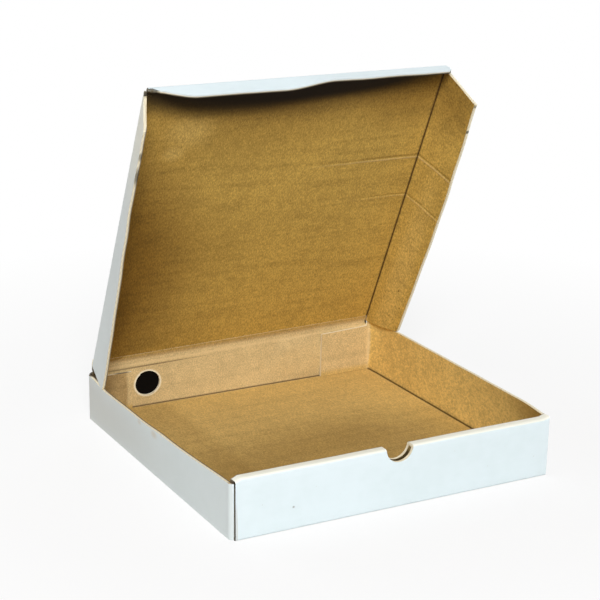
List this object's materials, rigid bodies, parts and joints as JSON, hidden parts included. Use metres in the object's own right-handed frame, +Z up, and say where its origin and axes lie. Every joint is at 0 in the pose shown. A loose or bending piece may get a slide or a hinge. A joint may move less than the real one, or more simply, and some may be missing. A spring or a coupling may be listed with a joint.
{
  "type": "pizza box",
  "caption": "Shallow square corrugated-board box with a hinged tuck-in lid, a rolled double front wall, a thumb notch and a vent hole in the back wall.",
  "frame": {"origin": "middle of the underside of the tray, on the surface that the box stands on", "axes": "+X along the front wall to the right, +Y from the front wall to the back wall and the hinge, +Z up"},
  "size_m": [0.311, 0.318, 0.3335],
  "materials": {
    "corrugated_board": "matt corrugated board, white paper liner outside, brown kraft liner inside, raw fluted cut edges"
  },
  "bodies": {
    "tray": {"tray": "corrugated_board"},
    "lid": {"lid_panel": "corrugated_board"},
    "front_flap": {"lid_front_flap": "corrugated_board"},
    "left_flap": {"lid_left_flap": "corrugated_board"},
    "right_flap": {"lid_right_flap": "corrugated_board"}
  },
  "joints": [
    {"name": "lid_hinge", "type": "hinge", "parent": "tray", "child": "lid", "pos_m": [0, 0.1575, 0.056], "axis": [-1, 0, 0], "range_deg": [-65, 115]},
    {"name": "front_flap_fold", "type": "hinge", "parent": "lid", "child": "front_flap", "pos_m": [0, 0.02881, 0.33197], "axis": [-1, 0, 0], "range_deg": [-10, 90]},
    {"name": "left_flap_fold", "type": "hinge", "parent": "lid", "child": "left_flap", "pos_m": [-0.15, 0.09411, 0.19195], "axis": [0, 0.4226, -0.9063], "range_deg": [-30, 90]},
    {"name": "right_flap_fold", "type": "hinge", "parent": "lid", "child": "right_flap", "pos_m": [0.15, 0.09411, 0.19195], "axis": [0, -0.4226, 0.9063], "range_deg": [-30, 90]}
  ]
}
